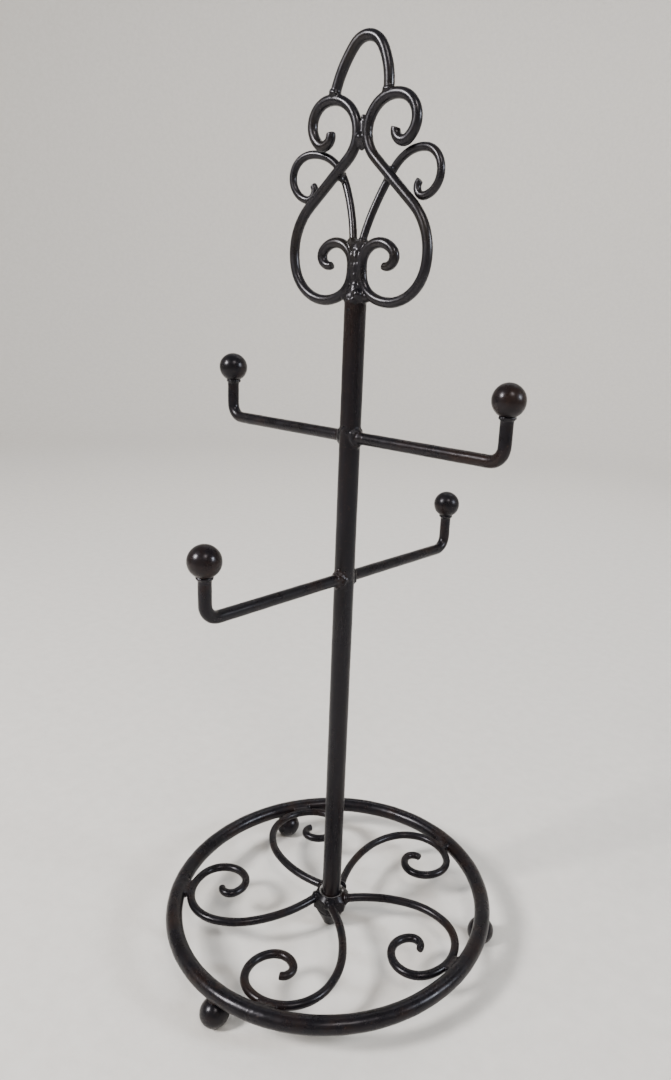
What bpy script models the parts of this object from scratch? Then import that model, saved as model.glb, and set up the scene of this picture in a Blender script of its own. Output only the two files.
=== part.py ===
"""Free-standing wrought-iron towel rack, in metres, +Z up.

The floor is z = 0 and the post stands on the Z axis. The flat finial lies in
the XZ plane and faces -Y. Every rod is bent cold to a short list of bends and
welded to its neighbours; the post stands in a hexagonal hub that a tapered
nut locks from below. Welded pieces are separate solids with a fine seam.
"""
import math

import bmesh
import bpy

MM = 0.001
GAP = 0.3 * MM                      # seam between touching pieces

# Bar stock
RING_ROD = 9.5 * MM / 2
SCROLL_ROD = 4.9 * MM / 2
ARM_ROD = 6.4 * MM / 2
LYRE_ROD = 5.2 * MM / 2
SIDE_ROD = 4.0 * MM / 2
BALL = 15.8 * MM / 2

# Base
RING_RADIUS = 92.0 * MM             # ring centreline
FOOT_FLAT_Z = 0.3 * MM              # height ground off the bottom of each ball
RING_Z = 2 * BALL - FOOT_FLAT_Z + GAP + RING_ROD
FOOT_ANGLES = {"foot_front": -93.0, "foot_rear_right": 27.0, "foot_rear_left": 147.0}
SCROLL_COUNT = 5
SCROLL_FIRST_ANGLE = -51.0
SCROLL_START = (12.3 * MM, 0.2 * MM, 22.0)
SCROLL_BENDS = ((-73, 30), (-42, 29), (-25.5, 108), (-15, 122), (-11, 84), (-5.4, 120))

# Hub, with heights measured from the ring plane
HUB_FLATS = 19.0 * MM
HUB_TURN = 23.0
HUB_TOP = 3.3 * MM
HUB_SHOULDER = -0.6 * MM
HUB_BOTTOM = -6.6 * MM
HUB_TOP_LAND = 7.3 * MM
HUB_BORE = 11.8 * MM / 2
TAPER_TOP = 9.2 * MM
TAPER_TIP = 4.6 * MM
TAPER_END = -19.4 * MM
STUD = 8.0 * MM / 2
STUD_TOP = 16.0 * MM
STUD_END = -15.0 * MM

# Post
POST = 11.1 * MM / 2
POST_WALL = 1.2 * MM
POST_FOOT = -6.2 * MM               # from the ring plane
POST_TOP = RING_Z + 347.4 * MM
PLUG_DEPTH = 8.0 * MM
PLUG_CROWN = 1.2 * MM

# Arms: name, turn about Z, height of the rod above the ring plane
ARM_REACH = 92.0 * MM
ARM_BEND = 7.4 * MM
BALL_RISE = 27.9 * MM
UPPER_ARM = 280.0 * MM
LOWER_ARM = 203.5 * MM
ARMS = (
    ("upper_right", -6.0, UPPER_ARM),
    ("upper_left", 174.0, UPPER_ARM),
    ("lower_front", -96.0, LOWER_ARM),
    ("lower_rear", 84.0, LOWER_ARM),
)
SOCKET_DEPTH = 4.0 * MM

# Finial: x, z from the post top (side scrolls: from their base) and heading of each rod's first end
LYRE_START = (15.2 * MM, 16.0 * MM, -24.0)
LYRE_BENDS = (
    (4.5, 155), (10, 142), (0, 4), (12.5, 58), (20, 105), (29.5, 61.4),
    (0, 30.3), (-15, 156), (-10.5, 123), (-4.5, 145),
)
SIDE_BASE = 27.9 * MM                # above the post top
SIDE_START = (2.9 * MM, 0.0, 79.0)
SIDE_BENDS = ((-93, 20), (-19.5, 67), (-10.5, 159), (-4, 150))
STEM_LEAN = 0.185                    # the stem's slope back, to pass behind the lyre rod
LOOP_BACK = 7.25 * MM                # how far back the loop's plane would meet the post's axis
LOOP_TURN = 0.128                    # the loop's slope forward again, going outwards
LEAN_BLEND = 0.85 * MM               # softness of the bend between stem and loop
ARCH_START = (-16.3 * MM, 93.2 * MM, 73.0)
ARCH_BENDS = ((-50, 24), (-9.6, 108), (-31.5, 31), (0, 1.6))


def clear_scene():
    for old in list(bpy.data.objects):
        bpy.data.objects.remove(old, do_unlink=True)


def collection(name):
    made = bpy.data.collections.new(name)
    bpy.context.scene.collection.children.link(made)
    return made


def material(name, color, roughness, metallic):
    made = bpy.data.materials.new(name)
    made.use_nodes = True
    shader = made.node_tree.nodes["Principled BSDF"]
    shader.inputs["Base Color"].default_value = (*color, 1.0)
    shader.inputs["Roughness"].default_value = roughness
    shader.inputs["Metallic"].default_value = metallic
    made.diffuse_color = (*color, 1.0)
    return made


def bend_path(start, bends, spacing):
    """Points along a rod from its start (x, z, heading) through its bends.

    A bend is (radius in mm, angle in degrees), turning left when the radius is
    positive; radius 0 is a straight run whose length in mm is the second value.
    """
    x, z, heading = start
    heading = math.radians(heading)
    points = [(x, z)]
    for radius, amount in bends:
        if radius == 0:
            length = amount * MM
            steps = max(1, round(length / spacing))
            for step in range(1, steps + 1):
                reach = length * step / steps
                points.append((x + reach * math.cos(heading), z + reach * math.sin(heading)))
        else:
            turn = math.copysign(math.radians(amount), radius)
            bend = radius * MM
            pitch = min(spacing, 0.45 * abs(bend))
            steps = max(2, round(abs(bend * turn) / pitch))
            centre_x = x - bend * math.sin(heading)
            centre_z = z + bend * math.cos(heading)
            for step in range(1, steps + 1):
                angle = heading + turn * step / steps
                points.append((centre_x + bend * math.sin(angle), centre_z - bend * math.cos(angle)))
            heading += turn
        x, z = points[-1]
    return points


def rod(name, points, radius, finish, parts, sides=10, closed=False):
    """A round rod along 3-D points, with flat cut ends."""
    curve = bpy.data.curves.new(name, "CURVE")
    curve.dimensions = "3D"
    curve.bevel_depth = radius
    curve.bevel_resolution = (sides - 4) // 2
    curve.use_fill_caps = not closed
    spline = curve.splines.new("POLY")
    spline.points.add(len(points) - 1)
    for spot, point in zip(spline.points, points):
        spot.co = (*point, 1.0)
    spline.use_cyclic_u = closed
    spline.use_smooth = True
    made = bpy.data.objects.new(name, curve)
    made.data.materials.append(finish)
    parts.objects.link(made)
    return made


def turned(name, profile, finish, parts, steps, closed=False):
    """A turned piece: a profile of (radius, z) swept about Z by a Screw modifier."""
    mesh = bpy.data.meshes.new(name)
    edges = [(i, i + 1) for i in range(len(profile) - 1)]
    if closed:
        edges.append((len(profile) - 1, 0))
    mesh.from_pydata([(r, 0.0, z) for r, z in profile], edges, [])
    made = bpy.data.objects.new(name, mesh)
    mesh.materials.append(finish)
    parts.objects.link(made)
    screw = made.modifiers.new("turning", "SCREW")
    screw.axis = "Z"
    screw.steps = steps
    screw.render_steps = steps
    screw.use_merge_vertices = True
    screw.merge_threshold = 0.00002
    screw.use_smooth_shade = True
    return made


def as_mesh(source, parts):
    """The object with its modifiers applied, under the same name and place."""
    graph = bpy.context.evaluated_depsgraph_get()
    mesh = bpy.data.meshes.new_from_object(source.evaluated_get(graph))
    name = source.name
    place = source.matrix_world.copy()
    bpy.data.objects.remove(source, do_unlink=True)
    made = bpy.data.objects.new(name, mesh)
    made.matrix_world = place
    parts.objects.link(made)
    return made


def arc_points(radius, first, last, steps):
    """Points (r, z) on a circle about the origin between two elevations in degrees."""
    points = []
    for step in range(steps + 1):
        angle = math.radians(first + (last - first) * step / steps)
        points.append((radius * math.cos(angle), radius * math.sin(angle)))
    return points


def build_ring(finish, parts):
    segments = 72
    points = []
    for step in range(segments):
        angle = 2 * math.pi * step / segments
        points.append((RING_RADIUS * math.cos(angle), RING_RADIUS * math.sin(angle), 0.0))
    ring = rod("base_ring", points, RING_ROD, finish, parts, sides=12, closed=True)
    ring.location.z = RING_Z


def build_foot(name, turn, finish, parts):
    flat = math.degrees(math.asin((BALL - FOOT_FLAT_Z) / BALL))
    profile = [(0.0, BALL)] + arc_points(BALL, 72, -flat, 7)
    profile.append((0.0, -(BALL - FOOT_FLAT_Z)))
    foot = turned(name, profile, finish, parts, 20)
    angle = math.radians(turn)
    foot.location = (RING_RADIUS * math.cos(angle), RING_RADIUS * math.sin(angle), BALL - FOOT_FLAT_Z)


def build_base_scroll(index, finish, parts):
    path = bend_path(SCROLL_START, SCROLL_BENDS, 5.5 * MM)
    scroll = rod(f"base_scroll_{index + 1}", [(x, y, 0.0) for x, y in path], SCROLL_ROD, finish, parts)
    scroll.location.z = RING_Z
    scroll.rotation_euler.z = math.radians(SCROLL_FIRST_ANGLE + 360.0 / SCROLL_COUNT * index)


def build_hub(finish, parts, cutters):
    corner = HUB_FLATS / 2 / math.cos(math.radians(30))
    bm = bmesh.new()
    bmesh.ops.create_cone(
        bm, cap_ends=True, segments=6, radius1=corner, radius2=corner, depth=HUB_TOP - HUB_BOTTOM)
    bmesh.ops.translate(bm, verts=bm.verts, vec=(0.0, 0.0, (HUB_TOP + HUB_BOTTOM) / 2))
    mesh = bpy.data.meshes.new("hub_nut")
    bm.to_mesh(mesh)
    bm.free()
    mesh.materials.append(finish)
    hub = bpy.data.objects.new("hub_nut", mesh)
    parts.objects.link(hub)
    crown = turned("hub_crown_cutter", [
        (0.0, HUB_TOP + MM), (HUB_TOP_LAND, HUB_TOP + MM), (HUB_TOP_LAND, HUB_TOP),
        (corner + 0.1 * MM, HUB_SHOULDER), (corner + MM, HUB_BOTTOM - MM), (0.0, HUB_BOTTOM - MM),
    ], finish, cutters, 30)
    bore = turned("hub_bore_cutter", [
        (0.0, HUB_TOP + MM), (HUB_BORE + MM, HUB_TOP + 0.4 * MM), (HUB_BORE, HUB_TOP - 0.6 * MM),
        (HUB_BORE, HUB_BOTTOM - MM), (0.0, HUB_BOTTOM - MM),
    ], finish, cutters, 30)
    for cutter, operation in ((crown, "INTERSECT"), (bore, "DIFFERENCE")):
        cut = hub.modifiers.new(cutter.name, "BOOLEAN")
        cut.operation = operation
        cut.object = cutter
        cutter.hide_render = True
        cutter.display_type = "WIRE"
    place = (0.0, 0.0, RING_Z)
    turn = math.radians(HUB_TURN)
    for piece in (hub, crown, bore):
        piece.location = place
        piece.rotation_euler.z = turn


def build_taper_nut(finish, parts):
    top = HUB_BOTTOM - GAP
    hole = STUD + GAP
    hole_end = STUD_END - GAP
    round_off = 1.2 * MM
    profile = [
        (0.0, hole_end), (hole, hole_end), (hole, top), (TAPER_TOP - 0.6 * MM, top),
        (TAPER_TOP, top - 0.6 * MM), (TAPER_TIP, TAPER_END + round_off),
        (TAPER_TIP - 0.35 * round_off, TAPER_END + 0.35 * round_off),
        (TAPER_TIP - round_off, TAPER_END), (0.0, TAPER_END),
    ]
    taper = turned("hub_taper_nut", profile, finish, parts, 28)
    taper.location.z = RING_Z


def build_stud(finish, parts):
    chamfer = 0.8 * MM
    profile = [
        (0.0, STUD_TOP), (STUD - chamfer, STUD_TOP), (STUD, STUD_TOP - chamfer),
        (STUD, STUD_END + chamfer), (STUD - chamfer, STUD_END), (0.0, STUD_END),
    ]
    stud = turned("post_stud", profile, finish, parts, 20)
    stud.location.z = RING_Z


def build_post(finish, parts):
    foot = RING_Z + POST_FOOT
    inner = POST - POST_WALL
    profile = [(POST, POST_TOP), (POST, foot), (inner, foot), (inner, POST_TOP)]
    turned("post_tube", profile, finish, parts, 28, closed=True)


def build_post_plug(finish, parts):
    inner = POST - POST_WALL - GAP
    profile = [
        (0.0, PLUG_CROWN + GAP), (0.6 * POST, PLUG_CROWN * 0.8 + GAP), (POST - 0.3 * MM, GAP + 0.3 * MM),
        (POST - 0.5 * MM, GAP), (inner, GAP), (inner, -PLUG_DEPTH), (0.0, -PLUG_DEPTH),
    ]
    plug = turned("post_top_plug", profile, finish, parts, 24)
    plug.location.z = POST_TOP


def build_arm(name, turn, height, finish, parts):
    straight = ARM_REACH - ARM_BEND - POST - GAP
    rise = BALL_RISE - BALL + SOCKET_DEPTH - ARM_BEND - GAP
    bends = ((0, straight / MM), (ARM_BEND / MM, 90), (0, rise / MM))
    path = bend_path((POST + GAP, 0.0, 0.0), bends, 3.2 * MM)
    keep = [p for i, p in enumerate(path) if i == 0 or p[0] >= ARM_REACH - ARM_BEND - 0.01 * MM]
    top = [p for p in keep if p[1] <= ARM_BEND + 0.01 * MM] + [keep[-1]]
    arm = rod("arm_" + name, [(x, 0.0, z) for x, z in top], ARM_ROD, finish, parts, sides=12)
    arm.location.z = RING_Z + height
    arm.rotation_euler.z = math.radians(turn)


def build_arm_ball(name, turn, height, finish, parts):
    hole = ARM_ROD + GAP
    mouth = math.degrees(math.acos(hole / BALL))
    profile = arc_points(BALL, 90, -mouth, 9)
    profile.append((hole, -BALL + SOCKET_DEPTH))
    profile.append((0.0, -BALL + SOCKET_DEPTH))
    ball = turned("ball_" + name, profile, finish, parts, 20)
    angle = math.radians(turn)
    ball.location = (
        ARM_REACH * math.cos(angle), ARM_REACH * math.sin(angle), RING_Z + height + BALL_RISE)


def build_lyre(name, side, finish, parts):
    path = bend_path(LYRE_START, LYRE_BENDS, 4.2 * MM)
    lyre = rod(name, [(side * x, 0.0, z) for x, z in path], LYRE_ROD, finish, parts)
    lyre.location.z = POST_TOP


def set_back(x, z):
    """How far a side scroll stands behind the finial's plane: the smaller of two slopes, blended."""
    stem = math.exp(-STEM_LEAN * z / LEAN_BLEND)
    loop = math.exp(-(LOOP_BACK - LOOP_TURN * x) / LEAN_BLEND)
    return -LEAN_BLEND * math.log(stem + loop)


def build_side_scroll(name, side, finish, parts):
    path = bend_path(SIDE_START, SIDE_BENDS, 4.0 * MM)
    points = [(side * x, set_back(x, z), z) for x, z in path]
    scroll = rod(name, points, SIDE_ROD, finish, parts, sides=8)
    scroll.location.z = POST_TOP + SIDE_BASE


def build_arch(finish, parts):
    path = bend_path(ARCH_START, ARCH_BENDS, 3.6 * MM)
    arch = rod("top_arch", [(x, 0.0, z) for x, z in path], LYRE_ROD, finish, parts)
    arch.location.z = POST_TOP


def main():
    clear_scene()
    parts = collection("towel_rack")
    cutters = collection("cutters")
    iron = material("dark_bronze_paint", (0.028, 0.023, 0.021), 0.42, 0.3)
    bare = material("threaded_steel", (0.16, 0.15, 0.14), 0.45, 0.9)
    build_ring(iron, parts)
    for name, turn in FOOT_ANGLES.items():
        build_foot(name, turn, iron, parts)
    for index in range(SCROLL_COUNT):
        build_base_scroll(index, iron, parts)
    build_hub(iron, parts, cutters)
    build_taper_nut(iron, parts)
    build_stud(bare, parts)
    build_post(iron, parts)
    build_post_plug(iron, parts)
    for name, turn, height in ARMS:
        build_arm(name, turn, height, iron, parts)
        build_arm_ball(name, turn, height, iron, parts)
    for word, side in (("right", 1), ("left", -1)):
        build_lyre("lyre_" + word, side, iron, parts)
        build_side_scroll("side_scroll_" + word, side, iron, parts)
    build_arch(iron, parts)


main()
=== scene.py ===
"""Looks for the wrought-iron towel rack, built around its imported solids.

Every bar is swept again at full resolution, with hammer dents, and curled tips
are drawn down. The post, the balls and the hub are made again with soft edges.
Each welded joint gets its weld: the bars' stubs and a string of beads fused
into one skin.
"""

import math
import random

import bmesh
import bpy
import numpy as np
from mathutils import Matrix, Vector, noise


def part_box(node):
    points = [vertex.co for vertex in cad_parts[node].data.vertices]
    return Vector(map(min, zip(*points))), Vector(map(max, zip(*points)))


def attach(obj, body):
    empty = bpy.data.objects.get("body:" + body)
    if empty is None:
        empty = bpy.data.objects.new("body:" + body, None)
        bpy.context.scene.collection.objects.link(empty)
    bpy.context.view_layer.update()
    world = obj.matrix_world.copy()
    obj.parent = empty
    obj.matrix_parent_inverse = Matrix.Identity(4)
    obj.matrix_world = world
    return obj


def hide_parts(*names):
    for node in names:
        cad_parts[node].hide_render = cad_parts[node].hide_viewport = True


MM = 0.001

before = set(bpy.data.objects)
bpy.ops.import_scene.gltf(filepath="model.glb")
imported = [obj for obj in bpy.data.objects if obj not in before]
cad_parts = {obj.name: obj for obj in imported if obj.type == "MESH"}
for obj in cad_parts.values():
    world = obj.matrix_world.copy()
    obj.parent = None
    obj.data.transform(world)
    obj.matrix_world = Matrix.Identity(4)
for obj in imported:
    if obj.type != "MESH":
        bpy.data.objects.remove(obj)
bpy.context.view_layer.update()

# Sizes and places read from the frame
RING_LOW, RING_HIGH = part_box("base_ring")
RING_ROD = (RING_HIGH.z - RING_LOW.z) / 2
RING_Z = (RING_HIGH.z + RING_LOW.z) / 2
RING_RADIUS = RING_HIGH.x - RING_ROD
POST_LOW, POST_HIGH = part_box("post_tube")
POST = POST_HIGH.x
POST_TOP = POST_HIGH.z
HUB_LOW, HUB_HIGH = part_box("hub_nut")
TAPER_LOW, TAPER_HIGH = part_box("hub_taper_nut")

# Radii
BALL = 15.8 * MM / 2
SCROLL_ROD = 4.9 * MM / 2
ARM_ROD = 6.4 * MM / 2
LYRE_ROD = 5.2 * MM / 2
SIDE_ROD = 4.0 * MM / 2
POST_BORE = POST - 1.2 * MM

# A bar starts at (x, z, heading in degrees). Its bends follow, as
# (radius in mm, degrees), or (0, length in mm) for a straight.
SCROLL_COUNT = 5
SCROLL_FIRST_ANGLE = -51.0
SCROLL_START = (12.3 * MM, 0.2 * MM, 22.0)
SCROLL_BENDS = ((-73, 30), (-42, 29), (-25.5, 108), (-15, 122), (-11, 84), (-5.4, 120))
LYRE_START = (15.2 * MM, 16.0 * MM, -24.0)
LYRE_BENDS = (
    (4.5, 155), (10, 142), (0, 4), (12.5, 58), (20, 105), (29.5, 61.4),
    (0, 30.3), (-15, 156), (-10.5, 123), (-4.5, 145),
)
SIDE_BASE = 27.9 * MM               # a side scroll's foot, over the post's top
SIDE_START = (2.9 * MM, 0.0, 79.0)
SIDE_BENDS = ((-93, 20), (-19.5, 67), (-10.5, 159), (-4, 150))
STEM_LEAN = 0.185                   # a side scroll's slope back, up its stem
LOOP_BACK = 7.25 * MM               # where its loop's plane would cross behind the post's axis
LOOP_TURN = 0.128                   # the loop's slope forward again, going outwards
LEAN_BLEND = 0.85 * MM
ARCH_START = (-16.3 * MM, 93.2 * MM, 73.0)
ARCH_BENDS = ((-50, 24), (-9.6, 108), (-31.5, 31), (0, 1.6))
ARM_BEND = 7.4 * MM

# How far bars run on into what they are welded to
SCROLL_ROOT = 5.0 * MM
SIDE_ROOT = 2.5 * MM
ARCH_ROOT = 1.6 * MM
ARM_ROOT = 0.6 * MM
ARM_IN_BALL = 1.2 * MM

# Balls and feet
FOOT_FLAT = 0.3 * MM                # ground off the bottom of each foot
SOCKET_DEPTH = 4.0 * MM             # an arm ball's socket
ARM_NAMES = ("upper_right", "upper_left", "lower_front", "lower_rear")
FOOT_NAMES = ("foot_front", "foot_rear_right", "foot_rear_left")

# Hub
HUB_TURN = -7.0                     # azimuth of one corner, degrees
HUB_FLATS = 19.0 * MM
HUB_CORNER = HUB_FLATS / 2 / math.cos(math.radians(30))
HUB_SHARPNESS = 44                  # higher for sharper corners between the flats
HUB_TOP = HUB_HIGH.z
HUB_SHOULDER = RING_Z - 0.6 * MM    # height of the crown's edge at a corner
HUB_LAND = 7.3 * MM                 # radius of the level part of the crown
HUB_BORE = 5.64 * MM
HUB_MOUTH = (                       # out from the bore and down from the top, in mm
    (0.02, 1.60), (0.04, 0.95), (0.45, 0.60), (0.90, 0.25), (1.25, 0.04), (1.55, 0.0),
)
HUB_STEPS = 252                     # columns of faces around the hub

# Surfaces
BAR_STEP = 1.0 * MM                 # spacing of the rings of a swept bar
TIGHT_STEP = 0.12                   # and at most this share of the bend's radius
EASE = 4                            # rings each way over which a bend's ends are softened
ARM_EASE = 3
DRAWN_LENGTH = 9.0 * MM             # how far from its end a bar is drawn down
END_EDGE = 0.55 * MM                # rounding of a cut end's edge
CAP_INSET = 0.55                    # the inner ring of an end's cap, as a share of its rim
HAMMER_MARK = 8.0 * MM              # width of the dents along a bar
FINE_MARK = 2.6 * MM                # width of the small dents between them
TURNED_MARK = 7.0 * MM              # width of the dents on a turned piece
HUB_MARK = 5.0 * MM
RIPPLE_MARK = 2.2 * MM              # width of the ripples on a weld
WELD_VOXEL = 0.38 * MM
SKIN = 0.04 * MM                    # how far a weld's own stubs lie under the bars' skin
RING_TURN = 0.013                   # radians between the ring's points inside a weld
ON_AXIS = 1e-6                      # a profile's point nearer the axis than this lies on it

# Lumps of weld under the finial, in mm: x, y and height over the post's top, then radius
FINIAL_LUMPS = (
    (0.0, 0.0, 1.6, 4.7), (0.0, 0.0, 5.0, 3.9), (0.2, 0.0, 8.2, 2.9),
    (3.9, 0.0, 3.0, 3.2), (-3.9, 0.0, 3.0, 3.2), (6.6, 0.0, 1.6, 2.9), (-6.4, 0.0, 1.7, 2.8),
    (3.0, -3.0, 2.4, 2.6), (-2.2, -2.8, 1.2, 2.3), (1.0, 3.0, 1.8, 2.6),
    (0.0, 0.0, 21.6, 2.5), (2.2, 0.0, 24.2, 2.3), (-2.2, 0.0, 24.2, 2.3), (0.0, 0.0, 24.6, 2.0),
)
# Lumps of weld between the two lyre bars, likewise
HEART_LUMPS = (
    (0.0, 0.0, 68.1, 1.5), (0.0, 0.0, 69.5, 1.7), (0.0, 0.0, 70.9, 2.2), (-0.4, -1.3, 72.3, 2.1),
)

# Room and camera, in metres and degrees
COVE_FLOOR = 1.9
COVE_BEND = 0.9
COVE_WALL = 3.0
CAMERA_PLACE = (0.2347, -0.3227, 0.3570)
CAMERA_YAW = -31.62
CAMERA_PITCH = 15.424
CAMERA_ROLL = -3.526
CAMERA_LENS = 25.82
CAMERA_SENSOR = 36.0
CAMERA_SHIFT = -0.0628

EVEN = (1.0, 1.0, 1.0)
LONG_Z = (1.0, 1.0, 0.14)           # stretches a texture along the post


# Materials

def new_material(name):
    made = bpy.data.materials.new(name)
    made.use_nodes = True
    tree = made.node_tree
    shader = tree.nodes["Principled BSDF"]
    return made, tree, shader


def add_noise(tree, scale, detail, stretch=EVEN, roughness=0.5):
    """A noise texture in object space, in features per metre, stretched along an axis."""
    place = tree.nodes.new("ShaderNodeTexCoord")
    mapping = tree.nodes.new("ShaderNodeMapping")
    mapping.inputs["Scale"].default_value = stretch
    tree.links.new(place.outputs["Object"], mapping.inputs["Vector"])
    texture = tree.nodes.new("ShaderNodeTexNoise")
    texture.inputs["Scale"].default_value = scale
    texture.inputs["Detail"].default_value = detail
    texture.inputs["Roughness"].default_value = roughness
    tree.links.new(mapping.outputs["Vector"], texture.inputs["Vector"])
    return texture.outputs["Fac"]


def ramp(tree, source, stops):
    """Colours the source by stops of (place, colour)."""
    node = tree.nodes.new("ShaderNodeValToRGB")
    elements = node.color_ramp.elements
    while len(elements) < len(stops):
        elements.new(0.5)
    for element, (place, color) in zip(elements, stops):
        element.position = place
        element.color = (*color, 1.0)
    tree.links.new(source, node.inputs["Fac"])
    return node.outputs["Color"]


def remap(tree, source, low, high, start=0.3, end=0.7):
    """The source's range from start to end, spread from low to high."""
    node = tree.nodes.new("ShaderNodeMapRange")
    node.inputs["From Min"].default_value = start
    node.inputs["From Max"].default_value = end
    node.inputs["To Min"].default_value = low
    node.inputs["To Max"].default_value = high
    tree.links.new(source, node.inputs["Value"])
    return node.outputs["Result"]


def mix_color(tree, factor, first, color):
    """The first output, giving way to a plain colour as the factor rises."""
    node = tree.nodes.new("ShaderNodeMix")
    node.data_type = "RGBA"
    tree.links.new(factor, node.inputs["Factor"])
    tree.links.new(first, node.inputs["A"])
    node.inputs["B"].default_value = (*color, 1.0)
    return node.outputs["Result"]


def bump_chain(tree, layers):
    """Stacks bumps: each layer is (height output, distance in metres)."""
    normal = None
    for height, distance in layers:
        node = tree.nodes.new("ShaderNodeBump")
        node.inputs["Strength"].default_value = 1.0
        node.inputs["Distance"].default_value = distance
        tree.links.new(height, node.inputs["Height"])
        if normal is not None:
            tree.links.new(normal, node.inputs["Normal"])
        normal = node.outputs["Normal"]
    return normal


def bronze_paint(name, stretch=EVEN, blotch=46.0, warmth=1.0, lumps=0.00005, shine=0.20,
                 rough=(0.22, 0.38)):
    """Dark brown-black paint, brushed over hammered iron and rubbed thin in places."""
    made, tree, shader = new_material(name)
    black = (0.0021, 0.0017, 0.0018)
    slate = (0.0044, 0.0040, 0.0054)
    umber = (0.0100 * warmth, 0.0054, 0.0040)
    thin = (0.030 * warmth, 0.018, 0.013)
    blotches = add_noise(tree, blotch, 4.0, stretch, 0.6)
    tone = ramp(tree, blotches, ((0.30, black), (0.48, slate), (0.66, umber)))
    flecks = add_noise(tree, 620.0, 3.0, roughness=0.7)
    worn = remap(tree, flecks, 0.0, 0.55, 0.60, 0.74)
    tree.links.new(mix_color(tree, worn, tone, thin), shader.inputs["Base Color"])
    gloss = add_noise(tree, 150.0, 5.0, stretch, 0.65)
    tree.links.new(remap(tree, gloss, *rough), shader.inputs["Roughness"])
    hammer = add_noise(tree, 170.0, 2.0, stretch)
    brush = add_noise(tree, 640.0, 3.0, stretch)
    peel = add_noise(tree, 1500.0, 2.0)
    normal = bump_chain(tree, ((hammer, lumps * 2.0), (brush, lumps * 0.7), (peel, lumps * 0.2)))
    tree.links.new(normal, shader.inputs["Normal"])
    shader.inputs["Metallic"].default_value = 0.0
    shader.inputs["Specular IOR Level"].default_value = shine
    shader.inputs["Specular Tint"].default_value = (0.95, 0.92, 1.0, 1.0)
    shader.inputs["Coat Weight"].default_value = 0.05
    shader.inputs["Coat Roughness"].default_value = 0.22
    return made


def rim_iron(name):
    """The hub's inner rim, where the paint is rubbed off and bare iron shines."""
    made, tree, shader = new_material(name)
    dull = (0.04, 0.036, 0.034)
    rubbed = (0.42, 0.41, 0.41)
    bright = (0.80, 0.79, 0.79)
    wear = add_noise(tree, 520.0, 4.0, roughness=0.7)
    tone = ramp(tree, wear, ((0.40, dull), (0.50, rubbed), (0.62, bright)))
    tree.links.new(tone, shader.inputs["Base Color"])
    tree.links.new(remap(tree, wear, 0.55, 0.28), shader.inputs["Roughness"])
    tree.links.new(bump_chain(tree, ((wear, 0.00004),)), shader.inputs["Normal"])
    shader.inputs["Metallic"].default_value = 0.85
    return made


def steel(name):
    """The stud's turned steel."""
    made, tree, shader = new_material(name)
    darker = (0.10, 0.095, 0.09)
    paler = (0.19, 0.18, 0.17)
    grain = add_noise(tree, 900.0, 3.0, (1.0, 1.0, 0.1))
    tree.links.new(ramp(tree, grain, ((0.3, darker), (0.7, paler))), shader.inputs["Base Color"])
    tree.links.new(remap(tree, grain, 0.35, 0.55), shader.inputs["Roughness"])
    tree.links.new(bump_chain(tree, ((grain, 0.00003),)), shader.inputs["Normal"])
    shader.inputs["Metallic"].default_value = 0.9
    return made


def floor_finish(name):
    made, tree, shader = new_material(name)
    darker = (0.66, 0.635, 0.60)
    paler = (0.71, 0.685, 0.65)
    grain = add_noise(tree, 90.0, 5.0, roughness=0.6)
    tree.links.new(ramp(tree, grain, ((0.3, darker), (0.7, paler))), shader.inputs["Base Color"])
    tree.links.new(bump_chain(tree, ((grain, 0.0004),)), shader.inputs["Normal"])
    shader.inputs["Roughness"].default_value = 0.85
    shader.inputs["Specular IOR Level"].default_value = 0.2
    return made


# Mesh tools

def bend_path(start, bends, spacing):
    """Points along a bar from its start (x, z, heading) through its bends."""
    x, z, heading = start
    heading = math.radians(heading)
    points = [(x, z)]
    for radius, amount in bends:
        if radius == 0:
            length = amount * MM
            steps = max(1, round(length / spacing))
            for step in range(1, steps + 1):
                reach = length * step / steps
                points.append((x + reach * math.cos(heading), z + reach * math.sin(heading)))
        else:
            turn = math.copysign(math.radians(amount), radius)
            bend = radius * MM
            steps = max(2, round(abs(bend * turn) / min(spacing, TIGHT_STEP * abs(bend))))
            centre_x = x - bend * math.sin(heading)
            centre_z = z + bend * math.cos(heading)
            for step in range(1, steps + 1):
                angle = heading + turn * step / steps
                points.append((centre_x + bend * math.sin(angle), centre_z - bend * math.cos(angle)))
            heading += turn
        x, z = points[-1]
    return np.array(points)


def eased(path, window=EASE):
    """The path with its changes of curvature softened, as hand bending leaves them, and its ends kept."""
    weights = np.hanning(2 * window + 1)
    weights /= weights.sum()
    padded = np.vstack([2 * path[0] - path[window:0:-1], path, 2 * path[-1] - path[-2:-window - 2:-1]])
    soft = np.column_stack([np.convolve(padded[:, k], weights, "valid") for k in range(path.shape[1])])
    steps = np.arange(len(path))
    share = np.clip((np.minimum(steps, len(path) - 1 - steps) - window) / window, 0.0, 1.0)[:, None]
    return path * (1 - share) + soft * share


def unevenness(points, size, depth, seed):
    """Seeded smooth noise at each point: features of a size in metres, up to a depth in metres."""
    shift = Vector((seed * 7.31, seed * 3.17, seed * 5.77))
    return np.array([noise.noise(Vector(p) / size + shift) for p in points]) * depth


def unit_rows(vectors):
    return vectors / np.linalg.norm(vectors, axis=1)[:, None]


def new_mesh(name, points, faces):
    mesh = bpy.data.meshes.new(name)
    mesh.from_pydata([tuple(p) for p in points], [], faces)
    mesh.validate()
    return mesh


def add_piece(name, mesh, finish):
    """A painted piece of the rack, on its one body."""
    mesh.materials.clear()
    mesh.materials.append(finish)
    mesh.shade_smooth()
    made = bpy.data.objects.new(name, mesh)
    bpy.context.scene.collection.objects.link(made)
    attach(made, "root")
    return made


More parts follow.
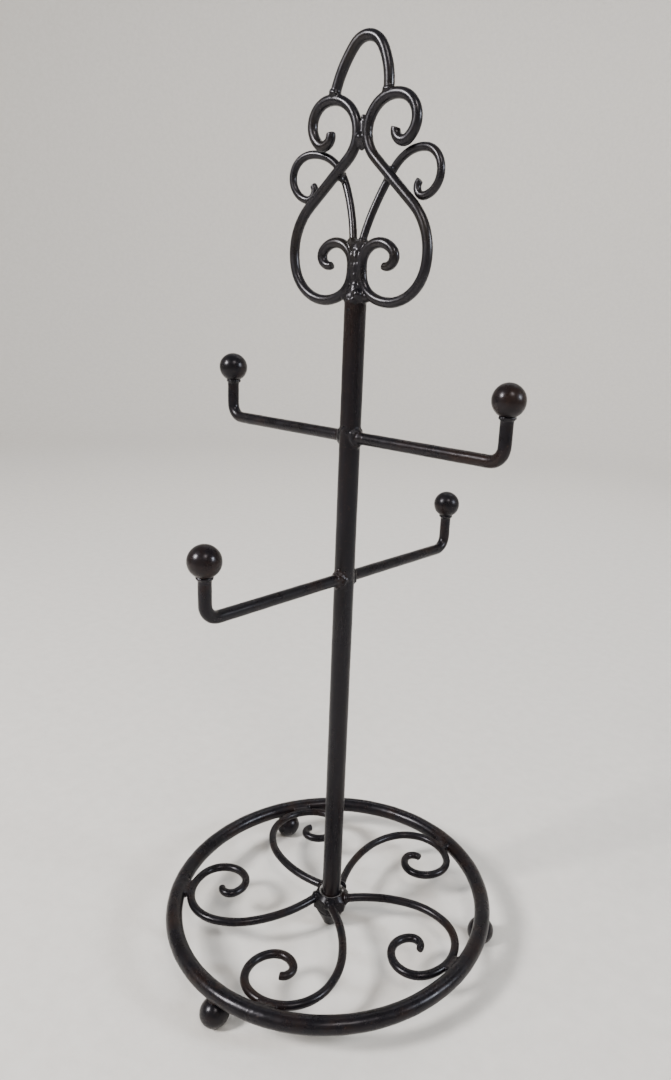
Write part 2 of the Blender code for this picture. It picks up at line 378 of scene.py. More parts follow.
def strip_faces(rows, sides, closed):
    """Quads between rows of points that run round; closed joins the last row to the first."""
    faces = []
    for i in range(rows if closed else rows - 1):
        a = i * sides
        b = (i + 1) % rows * sides
        for j in range(sides):
            k = (j + 1) % sides
            faces.append((a + j, a + k, b + k, b + j))
    return faces


def bar_axes(path, side_axis, closed):
    """Unit vectors at each point of a flat path: along it, to its inner side and across its plane."""
    if closed:
        tangent = np.roll(path, -1, axis=0) - np.roll(path, 1, axis=0)
    else:
        tangent = np.gradient(path, axis=0)
    tangent = unit_rows(tangent)
    side = np.tile(np.asarray(side_axis, float), (len(path), 1))
    side = unit_rows(side - tangent * (side * tangent).sum(axis=1)[:, None])
    return tangent, np.cross(side, tangent), side


def drawn_down(length, ends):
    """A bar's width and thickness at each length, as shares of its diameter."""
    across = np.ones(len(length))
    thick = np.ones(len(length))
    for amount, distance in ((ends[0], length), (ends[1], length[-1] - length)):
        fade = np.clip(1.0 - distance / DRAWN_LENGTH, 0.0, 1.0) ** 1.5
        across *= 1.0 - amount * fade
        thick *= 1.0 - 0.7 * amount * fade
    return across, thick


def soft_ends(stations, tangent, length, radius):
    """The stations of an open bar, with the edges of its two cut ends rounded."""
    edge = min(END_EDGE, 0.3 * radius)
    front = []
    back = []
    for t in (1.2, 0.8, 0.4, 0.0):
        drop = edge * (1 - math.sin(t))
        shrink = edge * (1 - math.cos(t))
        place, u, v, r = stations[0]
        front.append((place + tangent[0] * drop, u, v, r - shrink))
        place, u, v, r = stations[-1]
        back.append((place - tangent[-1] * drop, u, v, r - shrink))
    body = [s for s, d in zip(stations, length) if edge < d < length[-1] - edge]
    return front + body + back[::-1]


def close_end(points, faces, start, sides, centre, order):
    """Adds a cap's faces over the ring of points from start, and gives the points with the cap's."""
    rim = points[start:start + sides]
    inner = len(points)
    for j in range(sides):
        k = (j + 1) % sides
        quad = (start + j, start + k, inner + k, inner + j)
        fan = (inner + j, inner + k, inner + sides)
        faces.append(quad[::order])
        faces.append(fan[::order])
    return np.vstack([points, centre + (rim - centre) * CAP_INSET, centre])


def bar(name, path, side_axis, radius, finish, sides=28, ends=(0.0, 0.0), closed=False,
        dent=0.06 * MM, seed=1.0):
    """A round bar swept along a flat path. side_axis is the path plane's normal.

    ends gives how much each end is drawn down, from 0 for a plain cut end.
    Its dents are noise lowered by their own depth, so that they lie almost
    wholly under the plain bar's skin.
    """
    path = np.asarray(path, float)
    tangent, inward, side = bar_axes(path, side_axis, closed)
    length = np.r_[0.0, np.cumsum(np.linalg.norm(np.diff(path, axis=0), axis=1))]
    across, thick = drawn_down(length, ends)
    stations = [(path[i], inward[i] * across[i], side[i] * thick[i], radius) for i in range(len(path))]
    if not closed:
        stations = soft_ends(stations, tangent, length, radius)
    angles = np.linspace(0, 2 * math.pi, sides, endpoint=False)
    rings = []
    for place, u, v, r in stations:
        rings.append(place + r * (np.cos(angles)[:, None] * u + np.sin(angles)[:, None] * v))
    points = np.vstack(rings)
    centres = np.repeat(np.array([s[0] for s in stations]), sides, axis=0)
    shape = unevenness(points, HAMMER_MARK, dent, seed) + unevenness(points, FINE_MARK, dent * 0.3, seed + 2)
    points = points + unit_rows(points - centres) * (shape - dent)[:, None]
    faces = strip_faces(len(stations), sides, closed)
    if not closed:
        last = len(points) - sides
        points = close_end(points, faces, 0, sides, stations[0][0], -1)
        points = close_end(points, faces, last, sides, stations[-1][0], 1)
    return add_piece(name, new_mesh(name, points, faces), finish)


def spin(profile, steps):
    """Points and faces of a profile of (radius, z) turned about the Z axis."""
    angles = np.linspace(0, 2 * math.pi, steps, endpoint=False)
    points = []
    starts = []
    for r, z in profile:
        starts.append(len(points))
        if r < ON_AXIS:
            points.append((0.0, 0.0, z))
        else:
            points.extend((r * math.cos(a), r * math.sin(a), z) for a in angles)
    faces = []
    rows = len(profile)
    for i in range(rows if profile[0][0] > ON_AXIS else rows - 1):
        following = (i + 1) % rows
        a = starts[i]
        b = starts[following]
        for j in range(steps):
            k = (j + 1) % steps
            if profile[i][0] < ON_AXIS:
                faces.append((a, b + j, b + k))
            elif profile[following][0] < ON_AXIS:
                faces.append((a + j, b, a + k))
            else:
                faces.append((a + j, b + j, b + k, a + k))
    return np.array(points), faces


def turned(name, profile, place, finish, steps=48, dent=0.04 * MM, seed=1.0, floor=None, sideways=False):
    """A piece turned about the vertical through place, from a profile of (radius, z).

    A profile that starts off the axis is a closed ring. Dents push inwards to
    the piece's centre, or to its axis when sideways; nothing of it goes lower
    than floor.
    """
    points, faces = spin(profile, steps)
    outward = points - np.array([0.0, 0.0, points[:, 2].mean()])
    if sideways:
        outward[:, 2] = 0.0
    outward /= np.maximum(np.linalg.norm(outward, axis=1), 1e-9)[:, None]
    points = points + np.asarray(place, float)
    points = points + outward * (unevenness(points, TURNED_MARK, dent, seed) - dent)[:, None]
    if floor is not None:
        points[:, 2] = np.maximum(points[:, 2], floor)
    return add_piece(name, new_mesh(name, points, faces), finish)


def arc_points(radius, first, last, steps):
    """Profile points on a circle between two elevations in degrees."""
    points = []
    for step in range(steps + 1):
        angle = math.radians(first + (last - first) * step / steps)
        points.append((radius * math.cos(angle), radius * math.sin(angle)))
    return points


def stub(bm, start, end, radius, segments=20):
    """A short length of bar for a weld to grow on."""
    start = Vector(start)
    axis = Vector(end) - start
    turn = axis.to_track_quat("Z", "Y").to_matrix().to_4x4()
    place = Matrix.Translation(start + axis / 2) @ turn
    bmesh.ops.create_cone(
        bm, cap_ends=True, segments=segments, radius1=radius, radius2=radius, depth=axis.length, matrix=place)


def bead(bm, place, radius):
    bmesh.ops.create_icosphere(bm, subdivisions=2, radius=radius, matrix=Matrix.Translation(Vector(place)))


def fused_mesh(name, bm, rounds):
    """One closed skin around everything in bm, smoothed for a number of rounds."""
    mesh = bpy.data.meshes.new(name)
    bm.to_mesh(mesh)
    bm.free()
    raw = bpy.data.objects.new(name, mesh)
    bpy.context.scene.collection.objects.link(raw)
    remesh = raw.modifiers.new("fuse", "REMESH")
    remesh.mode = "VOXEL"
    remesh.voxel_size = WELD_VOXEL
    remesh.use_smooth_shade = True
    smooth = raw.modifiers.new("flow", "SMOOTH")
    smooth.factor = 0.6
    smooth.iterations = rounds
    graph = bpy.context.evaluated_depsgraph_get()
    fused = bpy.data.meshes.new_from_object(raw.evaluated_get(graph))
    fused.name = name
    bpy.data.objects.remove(raw)
    return fused


def weld(name, bm, finish, seed, ripple, rounds=20):
    """Fuses the stubs and beads in bm into one skin with soft fillets and seeded ripples."""
    fused = fused_mesh(name, bm, rounds)
    count = len(fused.vertices)
    places = np.empty(count * 3)
    normals = np.empty(count * 3)
    fused.vertices.foreach_get("co", places)
    fused.vertices.foreach_get("normal", normals)
    places = places.reshape(-1, 3)
    normals = normals.reshape(-1, 3)
    places += normals * unevenness(places, RIPPLE_MARK, ripple, seed)[:, None]
    fused.vertices.foreach_set("co", places.ravel())
    return add_piece(name, fused, finish)


def turned_about_z(points, degrees):
    turn = math.radians(degrees)
    spun = np.array(points, float)
    x = spun[:, 0].copy()
    y = spun[:, 1].copy()
    spun[:, 0] = x * math.cos(turn) - y * math.sin(turn)
    spun[:, 1] = x * math.sin(turn) + y * math.cos(turn)
    return spun


# The bars' centrelines

def run_on(path, reach):
    """The path carried on straight before its start, so that it starts inside what it is welded to."""
    back = path[0] - path[2]
    back /= np.linalg.norm(back)
    count = max(1, round(reach / BAR_STEP))
    lead = [path[0] + back * reach * step / count for step in range(count, 0, -1)]
    return np.vstack([lead, path])


def scroll_path(index):
    flat = eased(bend_path(SCROLL_START, SCROLL_BENDS, BAR_STEP))
    points = np.column_stack([flat, np.zeros(len(flat))])
    points = turned_about_z(points, SCROLL_FIRST_ANGLE + 360.0 / SCROLL_COUNT * index)
    points[:, 2] = RING_Z
    return points


def lyre_path(side):
    flat = eased(bend_path(LYRE_START, LYRE_BENDS, BAR_STEP))
    return np.column_stack([side * flat[:, 0], np.zeros(len(flat)), flat[:, 1] + POST_TOP])


def side_path(side):
    """A side scroll: its stem leans back behind the lyre's bar and its loop comes forward again."""
    flat = eased(bend_path(SIDE_START, SIDE_BENDS, BAR_STEP))
    stem = np.exp(-STEM_LEAN * flat[:, 1] / LEAN_BLEND)
    loop = np.exp(-(LOOP_BACK - LOOP_TURN * flat[:, 0]) / LEAN_BLEND)
    back = -LEAN_BLEND * np.log(stem + loop)
    return np.column_stack([side * flat[:, 0], back, flat[:, 1] + POST_TOP + SIDE_BASE])


def arch_path():
    flat = eased(bend_path(ARCH_START, ARCH_BENDS, BAR_STEP))
    return np.column_stack([flat[:, 0], np.zeros(len(flat)), flat[:, 1] + POST_TOP])


def ring_points(turn, reach):
    """Points along the ring's centreline, for a number of steps each way from an angle."""
    points = []
    for step in range(-reach, reach + 1):
        angle = turn + RING_TURN * step
        points.append(Vector((RING_RADIUS * math.cos(angle), RING_RADIUS * math.sin(angle), RING_Z)))
    return points


def ball_centre(node):
    """The centre of a ball, under the top of its box."""
    low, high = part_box(node)
    return Vector(((low.x + high.x) / 2, (low.y + high.y) / 2, high.z - BALL))


class Arm:
    """One arm's turn, height and reach, read from its bar and its ball."""

    def __init__(self, name):
        self.name = name
        self.ball = ball_centre("ball_" + name)
        self.reach = math.hypot(self.ball.x, self.ball.y)
        self.out = Vector((self.ball.x, self.ball.y, 0.0)) / self.reach
        self.side = Vector((-self.out.y, self.out.x, 0.0))
        self.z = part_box("arm_" + name)[0].z + ARM_ROD

    def at(self, reach, rise, aside=0.0):
        return Vector((0.0, 0.0, self.z + rise)) + self.out * reach + self.side * aside

    def path(self):
        start = POST - ARM_ROOT
        straight = self.reach - ARM_BEND - start
        rise = self.ball.z - self.z - BALL - ARM_BEND + ARM_IN_BALL
        bends = ((0, straight / MM), (ARM_BEND / MM, 90), (0, rise / MM))
        flat = eased(bend_path((start, 0.0, 0.0), bends, BAR_STEP), ARM_EASE)
        return np.array([self.at(x, z) for x, z in flat])


# Pieces

def build_ring(paint):
    angles = np.linspace(0, 2 * math.pi, 560, endpoint=False)
    circle = np.column_stack([
        RING_RADIUS * np.cos(angles), RING_RADIUS * np.sin(angles), np.full(len(angles), RING_Z)])
    ring = bar("ring_bar", circle, (0, 0, 1), RING_ROD, paint, sides=36, closed=True, dent=0.10 * MM, seed=10)
    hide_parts("base_ring")


def build_scroll(index, paint):
    path = run_on(scroll_path(index), SCROLL_ROOT)
    scroll = bar(f"scroll_bar_{index + 1}", path, (0, 0, 1), SCROLL_ROD, paint,
                 ends=(0.0, 0.14), seed=11 + index)
    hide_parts(f"base_scroll_{index + 1}")


def build_foot(name, paint, seed):
    ground = math.degrees(math.asin((BALL - FOOT_FLAT) / BALL))
    profile = arc_points(BALL, 90, -ground, 34)
    profile.append((0.0, profile[-1][1]))
    foot = turned("ball_" + name, profile, ball_centre(name), paint, steps=56, dent=0.05 * MM,
                  seed=seed, floor=0.0)
    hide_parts(name)


def hub_wall(angle):
    """The distance of the hub's flats from its axis in one direction, with soft corners."""
    across = 0.0
    for face in range(6):
        facing = math.cos(angle - math.radians(HUB_TURN + 30 + 60 * face))
        across += max(facing, 0.0) ** HUB_SHARPNESS
    return HUB_FLATS / 2 / across ** (1 / HUB_SHARPNESS)


def hub_profile(wall):
    """The hub's outline in one direction, from the bore's mouth out, down the flat and back up the bore."""
    slope = (HUB_TOP - HUB_SHOULDER) / (HUB_CORNER - HUB_LAND)
    outline = [(HUB_BORE + out * MM, HUB_TOP - down * MM) for out, down in HUB_MOUTH]
    for step in range(9):
        r = HUB_LAND + (wall - 0.30 * MM - HUB_LAND) * step / 8
        outline.append((r, HUB_TOP - max(0.0, r - HUB_LAND) * slope))
    edge = outline[-1][1]
    outline += [(wall - 0.12 * MM, edge - 0.17 * MM), (wall - 0.02 * MM, edge - 0.42 * MM)]
    low = HUB_LOW.z
    first = edge - 0.8 * MM
    for step in range(9):
        outline.append((wall, first + (low + 0.8 * MM - first) * step / 8))
    outline += [(wall - 0.1 * MM, low + 0.3 * MM), (wall - 0.5 * MM, low + 0.02 * MM)]
    outline += [(HUB_BORE + 1.2 * MM, low), (HUB_BORE, low), (HUB_BORE, low + 3 * MM)]
    return outline


def build_hub(paint, rim):
    """The hexagonal hub: a coned crown, six flats with soft corners and a bore with a rubbed rim."""
    points = []
    for step in range(HUB_STEPS):
        angle = 2 * math.pi * step / HUB_STEPS
        for r, z in hub_profile(hub_wall(angle)):
            points.append((r * math.cos(angle), r * math.sin(angle), z))
    rows = len(points) // HUB_STEPS
    points = np.array(points)
    outward = unit_rows(points - points.mean(axis=0))
    points += outward * unevenness(points, HUB_MARK, 0.10 * MM, 41)[:, None]
    faces = strip_faces(HUB_STEPS, rows, True)
    hub = add_piece("hub_hexagon", new_mesh("hub_hexagon", points, faces), paint)
    hub.data.materials.append(rim)
    rim_rows = len(HUB_MOUTH) - 1
    for face in hub.data.polygons:
        face.material_index = 1 if face.index % rows < rim_rows else 0
    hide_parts("hub_nut")


def build_taper(paint):
    """The tapered nut under the hub, with its edges softened."""
    top = TAPER_HIGH.z
    end = TAPER_LOW.z
    wide = TAPER_HIGH.x
    tip = 4.6 * MM
    flank_top = top - 0.9 * MM
    flank_end = end + 1.6 * MM
    profile = [(0.0, top), (wide - 1.2 * MM, top)]
    profile += [(wide - 0.5 * MM, top - 0.1 * MM), (wide - 0.1 * MM, top - 0.5 * MM)]
    for step in range(1, 13):
        t = step / 12
        profile.append((wide + (tip - wide) * t, flank_top + (flank_end - flank_top) * t))
    profile += [(tip - 0.3 * MM, end + 0.7 * MM), (tip - 0.9 * MM, end + 0.15 * MM)]
    profile += [(tip - 1.6 * MM, end), (0.0, end)]
    taper = turned("hub_taper", profile, (0, 0, 0), paint, steps=60, dent=0.07 * MM, seed=42)
    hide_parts("hub_taper_nut")


def build_post(paint):
    low = POST_LOW.z
    levels = np.arange(low, POST_TOP - 1.0 * MM, 1.6 * MM)
    profile = [(POST_BORE, POST_TOP - 12 * MM), (POST_BORE, POST_TOP - 0.4 * MM)]
    profile += [(POST_BORE + 0.4 * MM, POST_TOP), (POST - 0.45 * MM, POST_TOP)]
    profile += [(POST - 0.12 * MM, POST_TOP - 0.14 * MM), (POST, POST_TOP - 0.5 * MM)]
    profile += [(POST, z) for z in levels[::-1]]
    profile.append((POST_BORE, low))
    tube = turned("post_pipe", profile, (0, 0, 0), paint, steps=72, dent=0.055 * MM, seed=51, sideways=True)
    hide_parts("post_tube")


def build_plug(paint):
    """The domed plug in the post's top."""
    edge = POST_BORE - 0.15 * MM
    foot = POST_TOP - 8 * MM
    profile = [(0.0, POST_TOP + 1.4 * MM), (2.0 * MM, POST_TOP + 1.25 * MM), (3.4 * MM, POST_TOP + 0.8 * MM)]
    profile += [(edge, POST_TOP + 0.2 * MM), (edge, foot), (0.0, foot)]
    plug = turned("post_plug", profile, (0, 0, 0), paint, steps=48, dent=0.05 * MM, seed=52)
    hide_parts("post_top_plug")


def build_arm(arm, paint, number):
    rod = bar("rod_" + arm.name, arm.path(), arm.side, ARM_ROD, paint, sides=32, dent=0.07 * MM,
              seed=61 + number)
    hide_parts("arm_" + arm.name)
    socket = ARM_ROD + 0.1 * MM
    mouth = math.degrees(math.acos((ARM_ROD + 0.25 * MM) / BALL))
    profile = arc_points(BALL, 90, -mouth, 40)
    profile += [(socket, -BALL + 1.2 * MM), (socket, -BALL + SOCKET_DEPTH), (0.0, -BALL + SOCKET_DEPTH)]
    ball = turned("knob_" + arm.name, profile, arm.ball, paint, steps=64, dent=0.06 * MM, seed=71 + number)
    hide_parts("ball_" + arm.name)


def build_finial(paint):
    for number, (word, side) in enumerate((("right", 1), ("left", -1))):
        lyre = bar("lyre_bar_" + word, lyre_path(side), (0, 1, 0), LYRE_ROD, paint,
                   ends=(0.24, 0.10), seed=81 + number)
        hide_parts("lyre_" + word)
        scroll = bar("side_bar_" + word, run_on(side_path(side), SIDE_ROOT), (0, 1, 0), SIDE_ROD, paint,
                     ends=(0.0, 0.08), seed=83 + number)
        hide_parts("side_scroll_" + word)
    path = run_on(run_on(arch_path(), ARCH_ROOT)[::-1], ARCH_ROOT)
    arch = bar("arch_bar", path, (0, 1, 0), LYRE_ROD, paint, seed=85)
    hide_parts("top_arch")


# Welds

def rope(bm, points, radius):
    """A bar's length inside a weld, as short stubs end to end."""
    points = [Vector(point) for point in points]
    for first, second in zip(points[:-1], points[1:]):
        stub(bm, first, second, radius)
    for point in points[1:-1]:
        bead(bm, point, radius)


def near(path, place, reach):
    """Every second point of a path that lies within reach of a place."""
    away = np.linalg.norm(path - np.asarray(place, float), axis=1)
    return path[away < reach][::2]


def bead_ring(bm, draw, centre, axis_u, axis_v, ring, size, count, lift=None):
    """Overlapping weld beads around a joint, each a little off its place and size."""
    for step in range(count):
        angle = 2 * math.pi * (step + draw.uniform(-0.25, 0.25)) / count
        spot = Vector(centre) + Vector(axis_u) * ring * math.cos(angle)
        spot += Vector(axis_v) * ring * math.sin(angle)
        if lift is not None:
            spot += lift(angle)
        bead(bm, spot, size * draw.uniform(0.82, 1.22))


def bead_line(bm, draw, start, end, size, count, wander=0.25 * MM):
    """Overlapping weld beads along a line, each a little off its place and size."""
    for step in range(count):
        spot = Vector(start).lerp(Vector(end), step / (count - 1))
        spot += Vector([draw.uniform(-wander, wander) for _ in range(3)])
        bead(bm, spot, size * draw.uniform(0.85, 1.18))


def weld_arms(name, arms, paint, seed):
    """The beads around both arms of a pair where they meet the post, with some spatter."""
    draw = random.Random(seed)
    bm = bmesh.new()
    z = arms[0].z
    ring = ARM_ROD + 0.35 * MM
    spatter = ring + 0.7 * MM
    stub(bm, (0, 0, z - 7 * MM), (0, 0, z + 7 * MM), POST - SKIN, 40)
    for arm in arms:
        stub(bm, arm.at(POST - 3 * MM, 0), arm.at(POST + 6 * MM, 0), ARM_ROD - SKIN, 28)

        def hug(angle, arm=arm):
            """Moves a bead in, to follow the post's round side."""
            aside = ring * math.cos(angle)
            return arm.out * (math.sqrt(POST * POST - aside * aside) - POST)

        seat = arm.at(POST + 0.35 * MM, 0)
        bead_ring(bm, draw, seat, arm.side, (0, 0, 1), ring, size=1.30 * MM, count=15, lift=hug)
        for _ in range(4):
            angle = draw.uniform(0, 2 * math.pi)
            aside = spatter * math.cos(angle)
            reach = math.sqrt(POST * POST - aside * aside) + draw.uniform(-0.2, 0.9) * MM
            bead(bm, arm.at(reach, spatter * math.sin(angle), aside), draw.uniform(0.9, 1.4) * MM)
    weld(name, bm, paint, seed, ripple=0.13 * MM)


def weld_ball(arm, paint, seed):
    """The collar of weld between an arm's tip and its ball."""
    draw = random.Random(seed)
    bm = bmesh.new()
    up = Vector((0, 0, MM))
    neck = arm.ball - Vector((0, 0, BALL))
    stub(bm, neck - up * 3.5, neck + up * 2, ARM_ROD - SKIN, 28)
    bead_ring(bm, draw, neck + up * 0.35, (1, 0, 0), (0, 1, 0), ARM_ROD + 0.25 * MM, size=0.85 * MM, count=16)
    weld("weld_ball_" + arm.name, bm, paint, seed, ripple=0.08 * MM, rounds=12)


def weld_hub(paint, seed):
    """Two rows of beads around each scroll where it enters the hub's flat."""
    draw = random.Random(seed)
    bm = bmesh.new()
    up = Vector((0, 0, 1))
    for index in range(SCROLL_COUNT):
        path = scroll_path(index)
        start = Vector(path[0])
        along = (Vector(path[3]) - start).normalized()
        across = along.cross(up)
        rope(bm, [start - along * 5.5 * MM, *path[0:7:2]], SCROLL_ROD - SKIN)
        outer = start - along * 2.2 * MM
        inner = start - along * 3.6 * MM
        bead_ring(bm, draw, outer, across, up, SCROLL_ROD - 0.5 * MM, size=1.0 * MM, count=12)
        bead_ring(bm, draw, inner, across, up, SCROLL_ROD + 0.2 * MM, size=1.3 * MM, count=12)
    weld("weld_hub", bm, paint, seed, ripple=0.12 * MM)


def weld_ring(index, paint, seed):
    """The weld where a scroll touches the ring's inner side: a line over, one under and one between."""
    draw = random.Random(seed)
    bm = bmesh.new()
    path = scroll_path(index)
    touch = path[np.argmax(np.hypot(path[:, 0], path[:, 1]))]
    turn = math.atan2(touch[1], touch[0])
    rope(bm, near(path, touch, 7 * MM), SCROLL_ROD - SKIN)
    rope(bm, ring_points(turn, 6), RING_ROD - SKIN)
    out = Vector((math.cos(turn), math.sin(turn), 0))
    side = Vector((-out.y, out.x, 0)) * MM
    seat = out * (RING_RADIUS - RING_ROD - 0.1 * MM) + Vector((0, 0, RING_Z))
    for rise in (1.3, -1.3):
        line = seat + Vector((0, 0, rise * MM))
        bead_line(bm, draw, line - side * 4.6, line + side * 4.6, size=1.15 * MM, count=8)
    bead_line(bm, draw, seat - side * 4, seat + side * 4, size=1.2 * MM, count=6)
    weld(f"weld_ring_{index + 1}", bm, paint, seed, ripple=0.10 * MM)


def weld_foot(name, paint, seed):
    """The weld between the ring and the top of a foot's ball."""
    draw = random.Random(seed)
    bm = bmesh.new()
    up = Vector((0, 0, 1))
    centre = ball_centre(name)
    crown = 4 * MM
    rope(bm, ring_points(math.atan2(centre.y, centre.x), 5), RING_ROD - SKIN)
    bead(bm, centre + up * (BALL - crown - SKIN), crown)
    seat = centre + up * (BALL - 0.1 * MM)
    bead_ring(bm, draw, seat, (1, 0, 0), (0, 1, 0), 2.3 * MM, size=1.15 * MM, count=11)
    bead(bm, centre + up * BALL, 1.8 * MM)
    weld("weld_" + name, bm, paint, seed, ripple=0.09 * MM)


def finial_point(x, y, z):
    """A point in mm from the middle of the post's top."""
    return Vector((x * MM, y * MM, POST_TOP + z * MM))


def weld_finial_base(paint, seed):
    """The lump that holds both lyre bars on the post, and the seam up between them."""
    draw = random.Random(seed)
    bm = bmesh.new()
    stub(bm, (0, 0, POST_TOP - 7 * MM), (0, 0, POST_TOP), POST - SKIN, 40)
    for side in (1, -1):
        rope(bm, lyre_path(side)[24:60:2], LYRE_ROD - SKIN)
    for x, y, z, size in FINIAL_LUMPS:
        bead(bm, finial_point(x, y, z), size * MM)
    bead_ring(bm, draw, (0, 0, POST_TOP), (1, 0, 0), (0, 1, 0), POST - 0.9 * MM, size=1.3 * MM, count=14)
    for front in (1, -1):
        bead_line(bm, draw, finial_point(0, front, 9), finial_point(0, front, 22), size=1.9 * MM, count=12)
    for side in (1, -1):
        path = side_path(side)
        foot = Vector(path[0])
        up = (Vector(path[3]) - foot).normalized() * MM
        rope(bm, [foot - up * 3, foot, foot + up * 3.5], SIDE_ROD - SKIN)
        seat = foot - up * 0.9
        bead_ring(bm, draw, seat, (1, 0, 0), (0, 1, 0), SIDE_ROD + 0.1 * MM, size=0.95 * MM, count=9)
    weld("weld_finial_base", bm, paint, seed, ripple=0.12 * MM)


def weld_finial_heart(paint, seed):
    """The weld between the two lyre bars, above the heart that they draw."""
    draw = random.Random(seed)
    bm = bmesh.new()
    for side in (1, -1):
        rope(bm, near(lyre_path(side), finial_point(side * 3.2, 0, 72), 9 * MM), LYRE_ROD - SKIN)
    for x, y, z, size in HEART_LUMPS:
        bead(bm, finial_point(x, y, z), size * MM)
    low = finial_point(0, 0.5, 71.5)
    high = finial_point(0, 0.3, 81.3)
    bead_line(bm, draw, low, high, size=1.3 * MM, count=18, wander=0.05 * MM)
    weld("weld_finial_heart", bm, paint, seed, ripple=0.13 * MM)


def weld_crossing(word, side, paint, seed):
    """The weld where a side scroll passes behind a lyre bar: a short line along each."""
    draw = random.Random(seed)
    bm = bmesh.new()
    lyre = lyre_path(side)
    scroll = side_path(side)
    gaps = np.linalg.norm(lyre[:, None, :] - scroll[None, :, :], axis=2)
    gaps[:, :12] = 1.0              # leaves out the scroll's foot
    first, second = np.unravel_index(np.argmin(gaps), gaps.shape)
    touch = Vector((lyre[first] + scroll[second]) / 2)
    rope(bm, near(lyre, touch, 7 * MM), LYRE_ROD - SKIN)
    rope(bm, near(scroll, touch, 7 * MM), SIDE_ROD - SKIN)
    along = Vector(lyre[first + 2] - lyre[first - 2]).normalized() * MM
    bead_line(bm, draw, touch - along * 2.6, touch + along * 2.6, size=1.45 * MM, count=6)
    rising = Vector(scroll[second + 2] - scroll[second - 2]).normalized() * MM
    bead_line(bm, draw, touch - rising * 2.2, touch + rising * 2.2, size=1.3 * MM, count=5)
    weld("weld_side_" + word, bm, paint, seed, ripple=0.10 * MM)


def weld_arch(word, side, paint, seed):
    """The ring of beads where a leg of the arch stands on a lyre's loop."""
    draw = random.Random(seed)
    bm = bmesh.new()
    arch = arch_path()
    if side > 0:
        arch = arch[::-1]
    foot = Vector(arch[0])
    up = (Vector(arch[3]) - foot).normalized()
    rope(bm, [foot - up * 2.5 * MM, *arch[0:7:2]], LYRE_ROD - SKIN)
    rope(bm, near(lyre_path(side), foot - up * 3.5 * MM, 7.5 * MM), LYRE_ROD - SKIN)
    seat = foot - up * 0.9 * MM
    along = up.cross(Vector((0, 1, 0)))
    bead_ring(bm, draw, seat, along, (0, 1, 0), LYRE_ROD - 0.15 * MM, size=0.95 * MM, count=16)
    weld("weld_arch_" + word, bm, paint, seed, ripple=0.10 * MM)


# Floor, light and camera

def build_floor():
    """A round pale floor that curves up into a low wall."""
    profile = [(reach, 0.0) for reach in np.linspace(0.0, COVE_FLOOR, 24)]
    for step in range(1, 17):
        angle = math.pi / 2 * step / 16
        profile.append((COVE_FLOOR + COVE_BEND * math.sin(angle), COVE_BEND * (1 - math.cos(angle))))
    profile.append((COVE_FLOOR + COVE_BEND, COVE_WALL))
    steps = 96
    points = []
    for reach, z in profile:
        for step in range(steps):
            angle = 2 * math.pi * step / steps
            points.append((reach * math.cos(angle), reach * math.sin(angle), z))
    faces = [face[::-1] for face in strip_faces(len(profile), steps, False)]
    mesh = new_mesh("studio_floor", points, faces)
    mesh.materials.append(floor_finish("pale_floor"))
    mesh.shade_smooth()
    floor = bpy.data.objects.new("studio_floor", mesh)
    bpy.context.scene.collection.objects.link(floor)


def add_light(name, place, target, size, power, color):
    """A rectangular light of a size in metres and a power in watts, aimed at a target."""
    light = bpy.data.lights.new(name, "AREA")
    light.shape = "RECTANGLE"
    light.size = size[0]
    light.size_y = size[1]
    light.energy = power
    light.color = color
    made = bpy.data.objects.new(name, light)
    made.location = place
    made.rotation_euler = (Vector(target) - Vector(place)).to_track_quat("-Z", "Y").to_euler()
    bpy.context.scene.collection.objects.link(made)
    return made


def build_lights():
    """Three small lights for the narrow highlights, a ceiling's soft fill and a wash on the wall."""
    add_light("key", (-0.65, -1.19, 1.15), (0, 0, 0.28), (0.30, 0.36), 42.0, (1.0, 0.98, 0.97))
    add_light("window", (1.45, 0.41, 0.90), (0, 0, 0.30), (0.28, 0.32), 18.0, (0.86, 0.93, 1.0))
    add_light("lamp", (0.85, -0.68, 1.50), (0, 0, 0.28), (0.26, 0.26), 9.0, (1.0, 0.94, 0.89))
    ceiling = add_light("ceiling", (-0.2, 0.1, 2.3), (0, 0, 0.20), (1.7, 1.7), 12.0, (1.0, 0.99, 0.97))
    ceiling.visible_glossy = False
    add_light("wall_wash", (-0.3, 0.9, 1.7), (-0.9, 2.6, 0.1), (1.6, 0.6), 25.0, (1.0, 1.0, 1.0))


def build_world():
    world = bpy.data.worlds.new("pale_room")
    world.use_nodes = True
    sky = world.node_tree.nodes["Background"]
    sky.inputs["Color"].default_value = (0.80, 0.81, 0.84, 1.0)
    sky.inputs["Strength"].default_value = 0.28
    bpy.context.scene.world = world


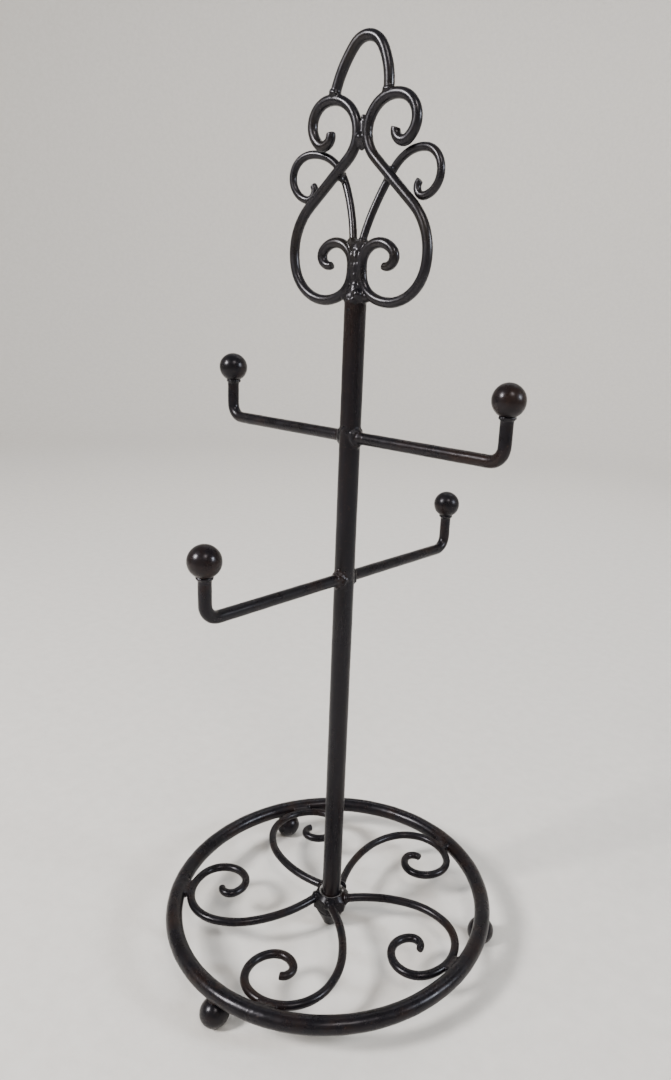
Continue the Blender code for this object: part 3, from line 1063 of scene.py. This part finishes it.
def build_camera():
    """The camera: where it stands, how it is turned, and its lens."""
    yaw = math.radians(CAMERA_YAW)
    pitch = math.radians(CAMERA_PITCH)
    roll = math.radians(CAMERA_ROLL)
    forward = Vector((math.sin(yaw) * math.cos(pitch), math.cos(yaw) * math.cos(pitch), -math.sin(pitch)))
    level = Vector((math.cos(yaw), -math.sin(yaw), 0.0))
    down = forward.cross(level)
    right = level * math.cos(roll) + down * math.sin(roll)
    under = down * math.cos(roll) - level * math.sin(roll)
    turn = Matrix((right, -under, -forward)).transposed()
    data = bpy.data.cameras.new("studio_camera")
    data.lens = CAMERA_LENS
    data.sensor_width = CAMERA_SENSOR
    data.shift_x = CAMERA_SHIFT
    camera = bpy.data.objects.new("studio_camera", data)
    camera.matrix_world = Matrix.Translation(CAMERA_PLACE) @ turn.to_4x4()
    bpy.context.scene.collection.objects.link(camera)
    bpy.context.scene.camera = camera


def build_base(paint, hub_paint):
    build_ring(paint)
    for index in range(SCROLL_COUNT):
        build_scroll(index, paint)
    for number, name in enumerate(FOOT_NAMES):
        build_foot(name, paint, 31 + number)
    build_hub(hub_paint, rim_iron("rubbed_rim"))
    build_taper(hub_paint)


def build_arms(arms, paint, weld_paint):
    for number, arm in enumerate(arms):
        build_arm(arm, paint, number)
        weld_ball(arm, weld_paint, 100 + number)


def weld_base(paint, hub_paint):
    weld_hub(hub_paint, 112)
    for index in range(SCROLL_COUNT):
        weld_ring(index, paint, 120 + index)
    for number, name in enumerate(FOOT_NAMES):
        weld_foot(name, paint, 130 + number)


def weld_finial(paint):
    weld_finial_base(paint, 140)
    weld_finial_heart(paint, 141)
    for number, (word, side) in enumerate((("right", 1), ("left", -1))):
        weld_crossing(word, side, paint, 150 + number)
        weld_arch(word, side, paint, 160 + number)


def main():
    base_paint = bronze_paint("paint_base")
    post_paint = bronze_paint("paint_post", LONG_Z, shine=0.19)
    arm_paint = bronze_paint("paint_arms", warmth=1.05)
    # The finial and its welds get a cooler, less brown copy of the paint (warmth 0.7). This is painted light:
    # a slate tint that stands in for the bluish sky light on the finial.
    finial_paint_painted_sky_tint = bronze_paint("paint_finial_painted_sky_tint", warmth=0.7, shine=0.30, rough=(0.22, 0.36))
    weld_paint = bronze_paint("paint_welds", blotch=70.0, lumps=0.00007, shine=0.24)
    hub_paint = bronze_paint("paint_hub", shine=0.10)
    build_base(base_paint, hub_paint)
    build_post(post_paint)
    build_plug(post_paint)
    arms = [Arm(name) for name in ARM_NAMES]
    build_arms(arms, arm_paint, weld_paint)
    build_finial(finial_paint_painted_sky_tint)
    weld_arms("weld_arms_upper", arms[:2], weld_paint, 110)
    weld_arms("weld_arms_lower", arms[2:], weld_paint, 111)
    weld_base(weld_paint, hub_paint)
    weld_finial(finial_paint_painted_sky_tint)
    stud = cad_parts["post_stud"]
    stud.data.materials.clear()
    stud.data.materials.append(steel("stud_steel"))
    build_floor()
    build_world()
    build_lights()
    build_camera()


main()
